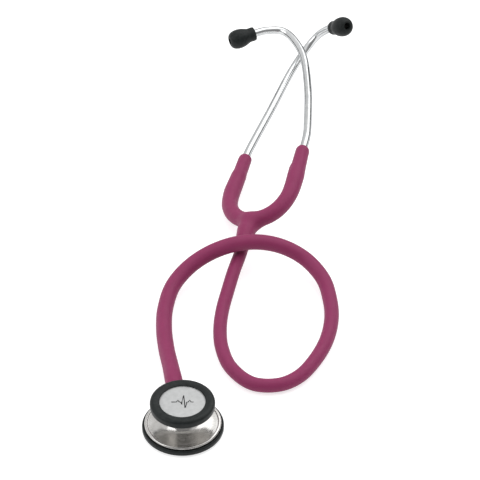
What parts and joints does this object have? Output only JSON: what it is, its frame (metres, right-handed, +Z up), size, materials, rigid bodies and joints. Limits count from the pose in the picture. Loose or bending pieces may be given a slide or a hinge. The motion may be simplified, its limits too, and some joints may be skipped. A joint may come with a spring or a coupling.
{
  "type": "stethoscope",
  "caption": "Acoustic stethoscope lying on a table: turning adult and paediatric chestpiece, flexible looped tube, sprung yoke and bent ear tubes with soft ear tips.",
  "frame": {"origin": "the centre of the adult diaphragm's outer face, which lies on the table", "axes": "+Z is up from the table, +Y runs from the chestpiece towards the headset, and +X is to the right of it"},
  "size_m": [0.1233, 0.3584, 0.0618],
  "materials": {
    "chestpiece_body": "turned and polished stainless steel",
    "adult_diaphragm": "thin satin glass-epoxy disc with a bonded edge ring",
    "adult_rim": "soft satin non-chill ring",
    "paediatric_diaphragm": "thin satin glass-epoxy disc",
    "paediatric_rim": "soft satin non-chill ring",
    "detent_ball": "polished bearing ball",
    "detent_spring": "spring wire",
    "detent_screw": "turned steel with a hexagon socket",
    "stem": "polished steel",
    "stem_seal_ring": "nitrile o-ring",
    "tube": "satin flexible PVC",
    "yoke_neck": "satin flexible PVC",
    "leaf_spring": "rolled spring steel strip",
    "yoke_arm_left": "satin flexible PVC",
    "yoke_arm_right": "satin flexible PVC",
    "spring_clip_left": "rolled steel",
    "spring_clip_right": "rolled steel",
    "ear_tube_left": "bright polished anodised tube",
    "ear_tube_right": "bright polished anodised tube",
    "ear_tip_sleeve_left": "moulded plastic",
    "ear_tip_sleeve_right": "moulded plastic",
    "ear_tip_left": "soft silicone",
    "ear_tip_right": "soft silicone"
  },
  "bodies": {
    "headset_root": {"tube": "tube", "yoke_neck": "yoke_neck", "leaf_spring": "leaf_spring", "stem": "stem", "stem_seal_ring": "stem_seal_ring"},
    "chestpiece": {"chestpiece_body": "chestpiece_body", "adult_diaphragm": "adult_diaphragm", "adult_rim": "adult_rim", "paediatric_diaphragm": "paediatric_diaphragm", "paediatric_rim": "paediatric_rim", "detent_ball": "detent_ball", "detent_spring": "detent_spring", "detent_screw": "detent_screw"},
    "arm_left": {"yoke_arm_left": "yoke_arm_left", "spring_clip_left": "spring_clip_left"},
    "arm_right": {"yoke_arm_right": "yoke_arm_right", "spring_clip_right": "spring_clip_right"},
    "ear_tube_left": {"ear_tube_left": "ear_tube_left", "ear_tip_sleeve_left": "ear_tip_sleeve_left"},
    "ear_tube_right": {"ear_tube_right": "ear_tube_right", "ear_tip_sleeve_right": "ear_tip_sleeve_right"},
    "ear_tip_left": {"ear_tip_left": "ear_tip_left"},
    "ear_tip_right": {"ear_tip_right": "ear_tip_right"}
  },
  "joints": [
    {"name": "chestpiece_turn", "type": "hinge", "parent": "headset_root", "child": "chestpiece", "pos_m": [0, 0, 0.0103], "axis": [-0.225, 0.9744, 0], "continuous": true},
    {"name": "arm_left_flex", "type": "hinge", "parent": "headset_root", "child": "arm_left", "pos_m": [0.03111, 0.16788, 0.00974], "axis": [-0.3898, 0.0462, 0.9197], "range_deg": [-10, 3], "stiffness_Nm_per_rad": 1.8, "deforming": ["leaf_spring"]},
    {"name": "arm_right_flex", "type": "hinge", "parent": "headset_root", "child": "arm_right", "pos_m": [0.0436, 0.16468, 0.0152], "axis": [0.4033, 0.015, -0.9149], "range_deg": [-10, 3], "stiffness_Nm_per_rad": 1.8, "deforming": ["leaf_spring"]},
    {"name": "ear_tube_left_twist", "type": "hinge", "parent": "arm_left", "child": "ear_tube_left", "pos_m": [0.01894, 0.17409, 0.00428], "axis": [0.2282, 0.9724, 0.0479], "range_deg": [0, 30]},
    {"name": "ear_tube_right_twist", "type": "hinge", "parent": "arm_right", "child": "ear_tube_right", "pos_m": [0.05706, 0.16431, 0.02112], "axis": [0.2032, 0.9734, 0.1055], "range_deg": [0, 30]},
    {"name": "ear_tip_left_pull", "type": "slide", "parent": "ear_tube_left", "child": "ear_tip_left", "axis": [0.4891, -0.7066, 0.5114], "range_m": [0, 0.01]},
    {"name": "ear_tip_right_pull", "type": "slide", "parent": "ear_tube_right", "child": "ear_tip_right", "axis": [-0.9228, -0.358, -0.1427], "range_m": [0, 0.01]}
  ]
}
